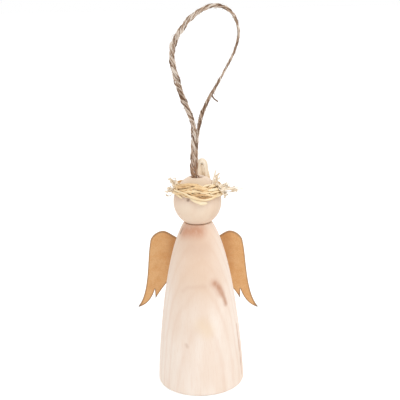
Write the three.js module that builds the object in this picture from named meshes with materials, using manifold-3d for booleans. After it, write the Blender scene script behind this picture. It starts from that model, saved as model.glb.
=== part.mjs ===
// Wooden angel ornament: a turned body, a bead head, leather wings, a raffia halo and a twine loop.
// Millimetres, +Z up. The figure stands on z = 0 with its axis on Z, and its front faces -Y.
import * as THREE from 'three';
import { mergeVertices } from 'three/addons/utils/BufferGeometryUtils.js';
import Module from 'manifold-3d';

const wasm = await Module();
wasm.setup();

const degrees = THREE.MathUtils.degToRad;

// Body: a cone turned on a lathe
const bodyHeight = 71;
const baseDiameter = 37;
const baseRound = 0.8; // eased edge round the base
const neckDiameter = 12.2;
const rimWidth = 0.75; // flat ring left round the dished seat
const flankRise = 6.8; // upright pull of the side above the base
const flankReach = 9.3; // pull of the side out from the neck
const flankDrop = 15.1; // and down from it

// Head: a bored bead that sits in the dished neck
const headDiameter = 20;
const mouthRound = 0.5; // eased edge of the bore

// Clearances
const fitGap = 0.3; // between pieces that touch
const boreSlack = 0.375; // between the twine and the bead's bore
const socketSlack = 0.6; // round and under the knot in the body

// Hanging loop of jute twine, and the stopper knot that holds it under the bead
const twineDiameter = 1.9;
const legGap = 0.45; // between the two legs where they leave the bead
const foldLift = 0.5; // height of the loop's fold above the bead
const knotDiameter = 6;
const knotWraps = 3;
const knotTail = 3; // cut ends below the knot

// Wings: two leather cut-outs that meet behind the body, measured from there along the leather
const wingThickness = 1;
const wingDrop = 21.35; // meeting point below the neck
const wingShift = -0.75; // the pair is glued a little off the middle
const wingStagger = 0.55; // and the right wing lower than the left, as seen from the front
const tipReach = 27.3;
const tipDrop = 26;
const crestReach = 14.4;
const crestRise = 13.5;
const shoulderReach = 19.8;
const shoulderRise = 7.9;
const featherReach = 19.3; // tip of the inner feather
const featherDrop = 21;
const notchDepth = 5.1; // notch that parts the two feathers, above and outside that tip
const notchShift = 0.1;
const rootRise = 6; // top and bottom of the edge where the wings meet
const rootDrop = 1.5;

// How far the curves of the wing's outline run on before they bend
const rootPull = 9;
const rootFlare = 2.8;
const crestPull = 2.8;
const shoulderPull = 2.6;
const edgePull = 7;
const edgeFlare = 1.6;
const tipPull = 5.6;
const tipCurl = 1.5;
const featherPull = 2.4;

// Dab of glue between the wings' roots and the round back
const glueThickness = 0.6; // at its thinnest
const glueWidth = 8;
const glueHeight = 7;

// Halo: flat raffia strands wound in two crossing layers round the head
const strandWidth = 1.2;
const strandThickness = 0.7;
const strandGap = 0.45; // between neighbouring turns
const layerGap = 0.45; // between the two layers
const strandTurns = 1.5;
const stepsPerTurn = 24;
const haloLatitude = degrees(33);
const haloTilt = degrees(3); // each layer leans its own way

// Knot that ties the halo, and the bow that stands on the band behind the head
const tieRadius = 1;
const tieTube = 0.42;
const tieBearing = degrees(-28); // from +X towards +Y
const tieLatitude = degrees(30);
const bowWidth = 5.2; // across both legs
const bowStrand = 2.1;
const bowThickness = 0.6;
const bowRise = 7.6; // above its feet
const bowBearing = degrees(75);

// Worked out from the sizes above
const headRadius = headDiameter / 2;
const neckRadius = neckDiameter / 2;
const seatRadius = neckRadius - rimWidth;
const seatSphere = headRadius + fitGap;
const seatRise = Math.sqrt(seatSphere ** 2 - seatRadius ** 2);
const headHeight = bodyHeight + seatRise; // centre of the bead
const twineRadius = twineDiameter / 2;
const legOffset = (twineDiameter + legGap) / 2;
const boreRadius = legOffset + twineRadius + boreSlack;
const foldHeight = headHeight + headRadius + foldLift;
const knotTop = headHeight - Math.sqrt(headRadius ** 2 - boreRadius ** 2) - fitGap;
const knotLength = knotWraps * twineDiameter;
const socketRadius = knotDiameter / 2 + socketSlack;
const socketFloor = knotTop - knotLength - knotTail - socketSlack;
const innerShell = headRadius + fitGap + strandThickness / 2;
const outerShell = innerShell + strandThickness + layerGap;
const haloSurface = outerShell + strandThickness / 2;
const laneAngle = (strandWidth + strandGap) / innerShell;
const tieStandoff = tieRadius / 2 + tieTube;
const notchReach = featherReach + notchShift;
const notchDrop = featherDrop - notchDepth;

const finishes = {
  wood: { color: 0xf1dcc6, roughness: 0.62 },
  leather: { color: 0xd9a56e, roughness: 0.78 },
  raffia: { color: 0xe3c194, roughness: 0.6 },
  twine: { color: 0xb99b80, roughness: 0.95 },
  glue: { color: 0xe9e2d2, roughness: 0.35 },
};

const angel = new THREE.Group();
const headGroup = new THREE.Group(); // the bead, and the raffia measured from its centre
headGroup.position.z = headHeight;
angel.add(headGroup);

function addPiece(name, geometry, finish, parent = angel) {
  const material = new THREE.MeshStandardMaterial({ metalness: 0, ...finishes[finish] });
  const mesh = new THREE.Mesh(geometry, material);
  mesh.name = name;
  parent.add(mesh);
  return mesh;
}

// Keeps only positions, joins equal corners and drops the slivers left at poles
function weld(geometry) {
  geometry.deleteAttribute('normal');
  geometry.deleteAttribute('uv');
  const joined = mergeVertices(geometry);
  const kept = [];
  for (let i = 0; i < joined.index.count; i += 3) {
    const [a, b, c] = [0, 1, 2].map((k) => joined.index.getX(i + k));
    if (a !== b && b !== c && c !== a) kept.push(a, b, c);
  }
  joined.setIndex(kept);
  return joined;
}

function toSolid(geometry) {
  const joined = weld(geometry);
  return new wasm.Manifold(new wasm.Mesh({
    numProp: 3,
    vertProperties: new Float32Array(joined.attributes.position.array),
    triVerts: new Uint32Array(joined.index.array),
  }));
}

function toGeometry(solid) {
  const mesh = solid.getMesh();
  const geometry = new THREE.BufferGeometry();
  geometry.setAttribute('position', new THREE.BufferAttribute(mesh.vertProperties, 3));
  geometry.setIndex(new THREE.BufferAttribute(mesh.triVerts, 1));
  return geometry;
}

// Turns a profile of (radius, height) points about Z
function revolve(profile, segments) {
  return weld(new THREE.LatheGeometry(profile, segments).rotateX(Math.PI / 2));
}

// Points of a circular arc in (radius, height), with both ends
function arc(radius, height, size, from, to, steps) {
  return Array.from({ length: steps + 1 }, (_, i) => {
    const angle = from + ((to - from) * i) / steps;
    return new THREE.Vector2(radius + size * Math.cos(angle), height + size * Math.sin(angle));
  });
}

// Side of the body from the eased base to the neck
const flank = new THREE.CubicBezierCurve(
  new THREE.Vector2(baseDiameter / 2, baseRound),
  new THREE.Vector2(baseDiameter / 2, baseRound + flankRise),
  new THREE.Vector2(neckRadius + flankReach, bodyHeight - flankDrop),
  new THREE.Vector2(neckRadius, bodyHeight),
);

// Side of the body at a height: its radius, and its lean towards the axis, found by halving
function flankAt(height) {
  let [low, high] = [0, 1];
  for (let i = 0; i < 40; i += 1) {
    const middle = (low + high) / 2;
    if (flank.getPoint(middle).y < height) low = middle;
    else high = middle;
  }
  const along = flank.getTangent(low);
  return { radius: flank.getPoint(low).x, lean: Math.atan2(-along.x, along.y) };
}

// Outer profile of the body from the axis at the base to the neck, swollen for a clearance round it
function bodyProfile(swell) {
  const round = arc(baseDiameter / 2 - baseRound, baseRound, baseRound, -Math.PI / 2, 0, 3);
  const side = [...round.slice(0, -1), ...flank.getPoints(18)];
  return [new THREE.Vector2(0, 0), ...side.map((p) => new THREE.Vector2(p.x + swell, p.y))];
}

function buildBody() {
  const rim = -Math.acos(seatRadius / seatSphere);
  const mouth = -Math.acos(socketRadius / seatSphere);
  const profile = [
    ...bodyProfile(0),
    ...arc(0, headHeight, seatSphere, rim, mouth, 4),
    new THREE.Vector2(socketRadius, socketFloor),
    new THREE.Vector2(0, socketFloor),
  ];
  addPiece('body', revolve(profile, 48), 'wood');
}

function buildHead() {
  const edge = Math.acos((boreRadius + mouthRound) / headRadius);
  const edgeHeight = headRadius * Math.sin(edge);
  const boreHalf = edgeHeight - mouthRound;
  const profile = [
    ...arc(0, 0, headRadius, -edge, edge, 22),
    new THREE.Vector2(boreRadius, boreHalf),
    new THREE.Vector2(boreRadius, -boreHalf),
    new THREE.Vector2(boreRadius + mouthRound, -edgeHeight),
  ];
  addPiece('head', revolve(profile, 40), 'wood', headGroup);
}

// Stopper knot of wrapped twine, with its legs up through the bead and its cut ends below
function buildHangerKnot() {
  const wraps = [new THREE.Vector2(0, -knotLength)];
  for (let i = knotWraps; i > 0; i -= 1) {
    const level = twineRadius - i * twineDiameter;
    const bulge = arc(knotDiameter / 2 - twineRadius, level, twineRadius, -Math.PI / 2, Math.PI / 2, 5);
    wraps.push(...(i === knotWraps ? bulge : bulge.slice(1)));
  }
  wraps.push(new THREE.Vector2(0, 0));
  let knot = toSolid(revolve(wraps, 16));
  const legTop = foldHeight - twineRadius - fitGap - knotTop;
  const legBottom = -knotLength - knotTail;
  for (const side of [-1, 1]) {
    const leg = new THREE.CylinderGeometry(twineRadius, twineRadius, legTop - legBottom, 8);
    leg.rotateX(Math.PI / 2).translate(side * legOffset, 0, (legTop + legBottom) / 2);
    knot = knot.add(toSolid(leg));
  }
  addPiece('hanger_knot', toGeometry(knot), 'twine').position.z = knotTop;
}

// Route of the loop above the fold, from its left leg over the crown to its right leg
const loopRoute = [
  [-legOffset, 0, 0], [-1.3, -0.3, 2.5], [-1.4, -0.75, 6], [-1.3, -1, 11], [-1.25, -1.05, 16],
  [-1.5, -0.9, 21.5], [-2.5, -0.5, 25.6], [-4, 0, 29.3], [-5.5, 0.3, 33], [-6.7, 0.5, 36.8],
  [-8, 0.6, 41.5], [-8.8, 0.6, 46.5], [-8.8, 0.4, 50.9], [-8, 0.2, 54.3], [-6.3, 0, 57.5],
  [-4.4, -0.1, 60.1], [-2.3, -0.2, 62.7], [0.4, -0.2, 65], [3.8, -0.2, 67.1], [7.3, -0.1, 68.3],
  [10.6, 0, 68.2], [13.4, 0.2, 67], [15.6, 0.4, 64.8], [17.2, 0.6, 61.5], [17.8, 0.7, 58],
  [17.3, 0.8, 54.6], [16.1, 0.8, 50.8], [14.2, 0.8, 47], [11.6, 0.7, 42.3], [8.9, 0.6, 37.7],
  [6.2, 0.5, 33.2], [3.9, 0.5, 28.9], [2.3, 0.6, 25], [1.2, 0.9, 21], [0.55, 1.2, 16],
  [0.4, 1.25, 11], [0.5, 0.9, 6], [0.95, 0.35, 2.5], [legOffset, 0, 0],
];

// The legs end in round tips centred on the fold, so the loop tips over without moving them
function buildLoop() {
  const route = new THREE.CatmullRomCurve3(loopRoute.map((p) => new THREE.Vector3(...p)));
  const section = new THREE.Shape(arc(0, 0, twineRadius, 0, 2 * Math.PI, 8).slice(0, -1));
  let loop = toSolid(new THREE.ExtrudeGeometry(section, { steps: 44, extrudePath: route }));
  for (const side of [-1, 1]) {
    const tip = new THREE.SphereGeometry(twineRadius, 8, 6).translate(side * legOffset, 0, 0);
    loop = loop.add(toSolid(tip));
  }
  addPiece('hanging_loop', toGeometry(loop), 'twine').position.z = foldHeight;
}

// Outline of one wing, from its root over the crest and round both feathers; side is -1 or 1
function wingOutline(side) {
  const root = fitGap / 2;
  const edge = new THREE.Path();
  edge.moveTo(root, rootRise);
  edge.bezierCurveTo(rootPull, rootRise + rootFlare, crestReach - crestPull, crestRise, crestReach, crestRise);
  edge.bezierCurveTo(crestReach + crestPull, crestRise, shoulderReach, shoulderRise + shoulderPull,
    shoulderReach, shoulderRise);
  edge.bezierCurveTo(shoulderReach + edgeFlare, shoulderRise - edgePull, tipReach - tipPull, edgePull - tipDrop,
    tipReach, -tipDrop);
  edge.quadraticCurveTo(tipReach - tipPull, tipCurl - tipDrop, notchReach, -notchDrop);
  edge.quadraticCurveTo(featherReach, -notchDrop - featherPull, featherReach, -featherDrop);
  edge.bezierCurveTo(featherReach - featherPull, 2 * featherPull - featherDrop,
    rootPull, -rootDrop - rootFlare, root, -rootDrop);
  return new THREE.Shape(edge.getPoints(7).map((p) => new THREE.Vector2(side * p.x, p.y)));
}

// The wings and their glue lie square to the side of the body, in a group turned to its lean
function buildWings() {
  const level = bodyHeight - wingDrop;
  const { radius, lean } = flankAt(level);
  const standoff = glueThickness + 2 * fitGap;
  const back = new THREE.Group();
  back.position.set(0, radius + standoff * Math.cos(lean), level + standoff * Math.sin(lean));
  back.rotation.x = Math.PI / 2 + lean;
  back.updateMatrix();
  angel.add(back);
  for (const [name, side] of [['left_wing', -1], ['right_wing', 1]]) {
    const wing = new THREE.ExtrudeGeometry(wingOutline(side), { depth: wingThickness, bevelEnabled: false });
    wing.translate(wingShift, (-side * wingStagger) / 2, -wingThickness);
    addPiece(name, wing, 'leather', back);
  }
  const dab = new THREE.CylinderGeometry(glueWidth / 2, glueWidth / 2, radius, 24).rotateX(Math.PI / 2);
  dab.scale(1, glueHeight / glueWidth, 1).translate(0, (rootRise - rootDrop) / 2, fitGap + radius / 2);
  const clear = revolve([...bodyProfile(fitGap), new THREE.Vector2(0, bodyHeight)], 48);
  clear.applyMatrix4(back.matrix.clone().invert());
  addPiece('wing_glue', toGeometry(toSolid(dab).subtract(toSolid(clear))), 'glue', back);
}

// Closed skin over rings of equal count, each turning from its side axis to its up axis
function skin(rings) {
  const sides = rings[0].length;
  const last = (rings.length - 1) * sides;
  const index = [];
  for (let k = 1; k < sides - 1; k += 1) index.push(0, k + 1, k, last, last + k, last + k + 1);
  for (let i = 0; i < last; i += sides) {
    for (let k = 0; k < sides; k += 1) {
      const next = (k + 1) % sides;
      index.push(i + k, i + next, i + sides + k, i + sides + k, i + next, i + sides + next);
    }
  }
  const geometry = new THREE.BufferGeometry().setFromPoints(rings.flat());
  geometry.setIndex(index);
  return geometry;
}

// Six-sided flat rings along a path; up follows the given normals and is carried on where they stop
function flatRings(path, normals, width, thickness) {
  const up = new THREE.Vector3();
  return path.map((point, i) => {
    const ahead = path[Math.min(i + 1, path.length - 1)];
    const behind = path[Math.max(i - 1, 0)];
    const tangent = new THREE.Vector3().subVectors(ahead, behind).normalize();
    up.copy(normals[i] ?? up).addScaledVector(tangent, -tangent.dot(normals[i] ?? up)).normalize();
    const side = new THREE.Vector3().crossVectors(up, tangent);
    return arc(0, 0, 1, 0, 2 * Math.PI, 6).slice(0, -1).map((corner) => point.clone()
      .addScaledVector(side, (corner.x * width) / 2)
      .addScaledVector(up, (corner.y * thickness) / 2));
  });
}

// Least distance between ring corners that lie at least half a turn apart along a winding
function leastGap(rings) {
  let least = Infinity;
  for (let i = 0; i < rings.length; i += 1) {
    for (let j = i + stepsPerTurn / 2; j < rings.length; j += 1) {
      for (const a of rings[i]) for (const b of rings[j]) least = Math.min(least, a.distanceTo(b));
    }
  }
  return least;
}

// Point round the head's centre at a distance, a bearing from +X and a latitude
function roundHead(distance, bearing, latitude) {
  const out = distance * Math.cos(latitude);
  return new THREE.Vector3(out * Math.cos(bearing), out * Math.sin(bearing), distance * Math.sin(latitude));
}

// Strands of the halo: the inner pair climbs and the outer pair sinks as it goes round from the left.
// Their free ends run through points placed by hand from the head's centre, counted in head radii.
const strands = [
  { name: 'raffia_strand_1', lane: -0.5, layer: 1,
    start: [[-1.06, 0.12, 0.29], [-1.19, 0.22, 0.27], [-1.38, 0.26, 0.35]] },
  { name: 'raffia_strand_2', lane: 0.5, layer: 1,
    end: [[0.69, 0.12, 0.86], [0.69, 0.22, 0.99], [0.77, 0.34, 1.13], [0.83, 0.4, 1.32]] },
  { name: 'raffia_strand_3', lane: 0.5, layer: -1,
    start: [[-0.83, 0.13, 0.91], [-0.96, 0.23, 0.95], [-1.2, 0.28, 0.9]] },
  { name: 'raffia_strand_4', lane: -0.5, layer: -1,
    end: [[1.14, 0.13, 0.35], [1.23, 0.23, 0.31], [1.4, 0.29, 0.25]] },
];
const tieTails = [
  [[1.19, -0.3, 0.78], [1.33, 0.15, 0.83]],
  [[1.3, -0.42, 0.62], [1.58, -0.2, 0.55], [1.8, 0, 0.44]],
];

function strandLatitude({ lane, layer }, turn) {
  const climb = lane + layer * (2 * turn - strandTurns);
  return haloLatitude + climb * laneAngle + layer * haloTilt * Math.cos(2 * Math.PI * turn);
}

// Smooth run from a start through placed points, without the start itself
function tailPath(start, points) {
  const placed = points.map((p) => new THREE.Vector3(...p).multiplyScalar(headRadius));
  const curve = new THREE.CatmullRomCurve3([start, ...placed]);
  return curve.getSpacedPoints(3 * points.length).slice(1);
}

function windStrand(strand) {
  const shell = strand.layer > 0 ? innerShell : outerShell;
  const wound = Array.from({ length: strandTurns * stepsPerTurn + 1 }, (_, i) => {
    const turn = i / stepsPerTurn;
    return roundHead(shell, Math.PI + 2 * Math.PI * turn, strandLatitude(strand, turn));
  });
  const normals = wound.map((p) => p.clone().normalize());
  const after = strand.end ? tailPath(wound.at(-1), strand.end) : [];
  const rings = flatRings([...wound, ...after], normals, strandWidth, strandThickness);
  if (strand.start) {
    const lead = [wound[0], ...tailPath(wound[0], strand.start)];
    const leadRings = flatRings(lead, [normals[0]], strandWidth, strandThickness);
    rings.unshift(...leadRings.slice(1).map((ring) => halfTurn(ring)).reverse());
  }
  console.log(strand.name, 'least gap to itself', leastGap(rings).toFixed(2), 'mm');
  addPiece(strand.name, skin(rings), 'raffia', headGroup);
}

// A ring made for a path that runs the other way, in the order of this one
function halfTurn(ring) {
  const half = ring.length / 2;
  return ring.map((_, k) => ring[(half - k + ring.length) % ring.length]);
}

// Small knot on the outside of the band, with its two free ends
function buildTie() {
  const place = roundHead(haloSurface + fitGap + tieStandoff, tieBearing, tieLatitude);
  const outward = place.clone().normalize();
  const turned = new THREE.Quaternion().setFromUnitVectors(new THREE.Vector3(0, 0, 1), outward);
  const knot = new THREE.TorusKnotGeometry(tieRadius, tieTube, 40, 6, 2, 3);
  knot.applyQuaternion(turned).translate(place.x, place.y, place.z);
  let tie = toSolid(knot);
  for (const points of tieTails) {
    const path = [place, ...tailPath(place, points)];
    tie = tie.add(toSolid(skin(flatRings(path, [outward], strandWidth, strandThickness))));
  }
  addPiece('raffia_tie', toGeometry(tie), 'raffia', headGroup);
}

// Flat strand bent to an upright loop, its feet just above the turns that pass behind the head
function buildBow() {
  const turn = 0.5 + bowBearing / (2 * Math.PI);
  const top = Math.max(...strands.map((strand) => strandLatitude(strand, turn)));
  const foot = roundHead(haloSurface, bowBearing, top + (strandWidth / 2 + fitGap) / outerShell);
  const bend = (bowWidth - bowStrand) / 2;
  const crown = arc(0, bowRise - bowWidth / 2, bend, Math.PI, 0, 10);
  const outline = [new THREE.Vector2(-bend, 0), ...crown, new THREE.Vector2(bend, 0)];
  const path = outline.map((p) => new THREE.Vector3(foot.x + p.x, foot.y, foot.z + p.y));
  const front = path.map(() => new THREE.Vector3(0, -1, 0));
  addPiece('raffia_bow', skin(flatRings(path, front, bowStrand, bowThickness)), 'raffia', headGroup);
}

buildBody();
buildHead();
buildHangerKnot();
buildLoop();
buildWings();
strands.forEach(windStrand);
buildTie();
buildBow();

export default angel;
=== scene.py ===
import bpy
import math
import numpy as np
from mathutils import Matrix, Vector


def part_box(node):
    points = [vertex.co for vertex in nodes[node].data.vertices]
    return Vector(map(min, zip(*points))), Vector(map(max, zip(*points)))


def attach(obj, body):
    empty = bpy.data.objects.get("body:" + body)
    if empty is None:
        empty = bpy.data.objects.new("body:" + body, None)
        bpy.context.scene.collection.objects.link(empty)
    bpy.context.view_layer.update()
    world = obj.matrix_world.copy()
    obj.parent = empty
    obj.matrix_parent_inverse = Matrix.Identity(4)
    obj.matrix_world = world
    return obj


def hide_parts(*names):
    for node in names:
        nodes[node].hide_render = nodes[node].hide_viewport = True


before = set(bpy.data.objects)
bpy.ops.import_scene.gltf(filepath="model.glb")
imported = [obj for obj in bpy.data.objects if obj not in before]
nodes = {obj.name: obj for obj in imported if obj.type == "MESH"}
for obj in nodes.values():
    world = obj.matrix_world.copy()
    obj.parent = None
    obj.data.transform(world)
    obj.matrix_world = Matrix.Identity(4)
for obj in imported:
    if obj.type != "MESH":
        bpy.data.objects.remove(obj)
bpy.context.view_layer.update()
scene = bpy.context.scene
mm = 0.001
print("frame loaded:", len(nodes), "solids")

camera = {
    "place": (1.07, -303.3, 158.5),  # mm
    "pitch": 14.45,  # degrees below level
    "roll": -1.253,
    "lens": 67.67,
    "sensor": 36,
    "nearest": 0.01,  # m
}


def setCamera():
    pitch, roll = math.radians(camera["pitch"]), math.radians(camera["roll"])
    ahead = Vector((0, math.cos(pitch), -math.sin(pitch)))
    up = Vector((0, math.sin(pitch), math.cos(pitch)))
    right = Vector((1, 0, 0))
    across = math.cos(roll) * right + math.sin(roll) * up
    upright = math.cos(roll) * up - math.sin(roll) * right
    data = bpy.data.cameras.new("photoCamera")
    data.lens = camera["lens"]
    data.sensor_width = camera["sensor"]
    data.clip_start = camera["nearest"]
    eye = bpy.data.objects.new("photoCamera", data)
    scene.collection.objects.link(eye)
    turn = Matrix((across, upright, -ahead)).transposed().to_4x4()
    eye.matrix_world = Matrix.Translation(Vector(camera["place"]) * mm) @ turn
    scene.camera = eye


setCamera()
print("camera set")


# paths and strands

def smoothRun(points, spacing):  # even points on a smooth curve through the given ones, mm
    given = np.array(points, float)
    padded = np.vstack([2 * given[0] - given[1], given, 2 * given[-1] - given[-2]])
    perSpan = 24
    share = np.linspace(0, 1, perSpan, endpoint=False)[:, None]
    fine = []
    for a, b, c, d in zip(padded, padded[1:], padded[2:], padded[3:]):
        bend = 2 * a - 5 * b + 4 * c - d
        turn = 3 * b - a - 3 * c + d
        fine.append(0.5 * (2 * b + (c - a) * share + bend * share**2 + turn * share**3))
    fine = np.vstack([*fine, given[-1:]])
    run = lengthAlong(fine)
    fewest = 3
    wanted = np.linspace(0, run[-1], max(int(run[-1] / spacing), fewest) + 1)
    return np.stack([np.interp(wanted, run, fine[:, k]) for k in range(3)], axis=1)


def unit(vectors):
    tiny = 1e-9
    return vectors / np.maximum(np.linalg.norm(vectors, axis=-1, keepdims=True), tiny)


def lengthAlong(path):
    return np.concatenate([[0], np.cumsum(np.linalg.norm(np.diff(path, axis=0), axis=1))])


def framesAlong(path, outward):  # tangent, side and up, with up as near to outward as it can be
    tangent = unit(np.gradient(path, axis=0))
    up = unit(outward - tangent * np.sum(outward * tangent, axis=1, keepdims=True))
    return tangent, np.cross(up, tangent), up


def drift(rng, count, steps, size):  # slow random change along a strand
    stops = rng.uniform(-size, size, max(int(steps), 2) + 2)
    inside = 1.001  # keeps the end short of the last stop
    at = np.linspace(0, len(stops) - inside, count)
    low = at.astype(int)
    share = at - low
    share = share * share * (3 - 2 * share)
    return stops[low] * (1 - share) + stops[np.minimum(low + 1, len(stops) - 1)] * share


def facing(direction, path):  # the same direction at every point of a path
    return np.tile(np.array(direction, float), (len(path), 1))


def atShares(stops, share, column=1):  # a value that is set at shares of a length
    table = np.array(stops, float)
    return np.interp(share, table[:, 0], table[:, column])


def keepValue(mesh, key, values):  # a number at each point, for the finish to read
    mesh.attributes.new(key, "FLOAT", "POINT").data.foreach_set("value", values.astype(np.float32))


class Bundle:  # many thin strands gathered into one mesh, with the values their finish reads
    def __init__(self):
        self.points, self.faces, self.count = [], [], 0
        self.values = {"tone": [], "along": [], "across": []}

    def add(self, rings, tone, along, across):  # rings turn from side to up
        count, sides = rings.shape[:2]
        index = np.arange(count * sides).reshape(count, sides) + self.count
        turned = np.roll(index, -1, axis=1)
        walls = np.stack([index[:-1], turned[:-1], turned[1:], index[1:]], axis=-1).reshape(-1, 4)
        self.faces.extend(walls.tolist())
        self.faces.append(index[0, ::-1].tolist())
        self.faces.append(index[-1].tolist())
        self.points.append(rings.reshape(-1, 3))
        self.values["tone"].append(np.broadcast_to(np.reshape(tone, (-1, 1)), (count, sides)).ravel())
        self.values["along"].append(np.repeat(along, sides))
        self.values["across"].append(np.tile(across, count))
        self.count += count * sides

    def toObject(self, name):
        mesh = bpy.data.meshes.new(name)
        mesh.from_pydata((np.vstack(self.points) * mm).tolist(), [], self.faces)
        for key, parts in self.values.items():
            keepValue(mesh, key, np.concatenate(parts))
        mesh.shade_smooth()
        made = bpy.data.objects.new(name, mesh)
        scene.collection.objects.link(made)
        return made


def layFibre(bundle, path, radius, sides, tone):
    lean = (0.31, 0.83, 0.46)  # a way that no fibre runs
    _, side, up = framesAlong(path, facing(lean, path))
    angle = np.linspace(0, 2 * math.pi, sides, endpoint=False)
    spread = np.cos(angle)[None, :, None] * side[:, None] + np.sin(angle)[None, :, None] * up[:, None]
    thick = np.broadcast_to(np.reshape(radius, (-1, 1, 1)), (len(path), 1, 1))
    bundle.add(path[:, None] + spread * thick, tone, lengthAlong(path), angle / math.pi)


def layRibbon(bundle, path, outward, width, tilt, tone, rng, crease=0.12, thick=0.11):
    _, side, up = framesAlong(path, outward)
    turn = np.reshape(tilt, (-1, 1))
    flat = np.cos(turn) * side + np.sin(turn) * up
    proud = np.cos(turn) * up - np.sin(turn) * side
    lanes = np.array([1, 0.5, 0, -0.5, -1])
    waver = 0.04
    height = crease * (1 - lanes**2) + rng.uniform(-waver, waver, len(lanes))
    wide = np.reshape(width, (-1, 1, 1)) / 2
    middle = path[:, None] + flat[:, None] * lanes[None, :, None] * wide
    middle = middle + proud[:, None] * height[None, :, None]
    skin = proud[:, None] * thick / 2
    rings = np.concatenate([middle + skin, (middle - skin)[:, ::-1]], axis=1)
    bundle.add(rings, tone, lengthAlong(path), np.concatenate([lanes, lanes[::-1]]))


# finishes

def tint(red, green, blue):  # a colour as the photo shows it, 0 to 255
    def linear(c):
        c /= 255
        return c / 12.92 if c <= 0.04045 else ((c + 0.055) / 1.055) ** 2.4
    return (linear(red), linear(green), linear(blue), 1)


class Wire:  # a value in a material, for sums
    def __init__(self, finish, socket):
        self.finish, self.socket = finish, socket

    def __add__(self, other):
        return self.finish.sum("ADD", self, other)

    def __radd__(self, other):
        return self.finish.sum("ADD", other, self)

    def __sub__(self, other):
        return self.finish.sum("SUBTRACT", self, other)

    def __rsub__(self, other):
        return self.finish.sum("SUBTRACT", other, self)

    def __mul__(self, other):
        return self.finish.sum("MULTIPLY", self, other)

    def __rmul__(self, other):
        return self.finish.sum("MULTIPLY", other, self)

    def __pow__(self, other):
        return self.finish.sum("POWER", self, other)

    def __rpow__(self, other):
        return self.finish.sum("POWER", other, self)


class Finish:
    def __init__(self, name):
        self.material = bpy.data.materials.new(name)
        self.material.use_nodes = True
        self.tree = self.material.node_tree
        self.shader = self.tree.nodes["Principled BSDF"]

    def plug(self, socket, value):
        if isinstance(value, Wire):
            self.tree.links.new(value.socket, socket)
        else:
            socket.default_value = value

    def node(self, kind, settings=None, sockets=None, output=0):
        made = self.tree.nodes.new("ShaderNode" + kind)
        for key, value in (settings or {}).items():
            setattr(made, key, value)
        for key, value in (sockets or {}).items():
            self.plug(made.inputs[key], value)
        return Wire(self, made.outputs[output])

    def sum(self, operation, *values):
        return self.node("Math", {"operation": operation}, dict(enumerate(values)))

    def vector(self, operation, first, second, output=0):
        return self.node("VectorMath", {"operation": operation}, {0: first, 1: second}, output)

    def place(self):  # where a point of the piece is, mm
        spot = self.node("TexCoord", output=3)
        return self.node("VectorMath", {"operation": "SCALE"}, {0: spot, "Scale": 1 / mm})

    def parts(self, place):
        return [self.node("SeparateXYZ", sockets={0: place}, output=k) for k in range(3)]

    def value(self, name):
        return self.node("Attribute", {"attribute_name": name}, output=2)

    def smooth(self, value, low, high):
        sockets = {"Value": value, "From Min": low, "From Max": high}
        return self.node("MapRange", {"interpolation_type": "SMOOTHSTEP"}, sockets)

    def blend(self, share, first, second):
        return self.node("Mix", {"data_type": "RGBA"}, {0: share, 6: first, 7: second}, 2)

    def noise(self, place, scale, detail=2.0, rough=0.5):
        sockets = {"Vector": place, "Scale": scale, "Detail": detail, "Roughness": rough}
        return self.node("TexNoise", sockets=sockets)

    def near(self, place, start, end):  # distance from a line between two points, mm
        along = Vector(end) - Vector(start)
        offset = self.vector("SUBTRACT", place, tuple(start))
        share = self.vector("DOT_PRODUCT", offset, tuple(along / along.length_squared), 1)
        held = self.node("Clamp", sockets={"Value": share})
        foot = self.node("VectorMath", {"operation": "SCALE"}, {0: tuple(along), "Scale": held})
        return self.vector("DISTANCE", offset, foot, 1)

    def mark(self, place, points, size):  # 1 on the line through the points, fading to 0 at size
        reach = self.near(place, points[0], points[1])
        for start, end in zip(points[1:], points[2:]):
            reach = self.sum("MINIMUM", reach, self.near(place, start, end))
        return self.smooth(reach, size, 0)

    def put(self, socket, value):
        self.plug(self.shader.inputs[socket], value)

    def bump(self, height, strength, depth):
        raised = self.node("Bump", sockets={"Strength": strength, "Distance": depth, "Height": height})
        self.put("Normal", raised)


def dress(piece, finish):
    piece.data.materials.clear()
    piece.data.materials.append(finish.material)


# hanging loop

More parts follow.
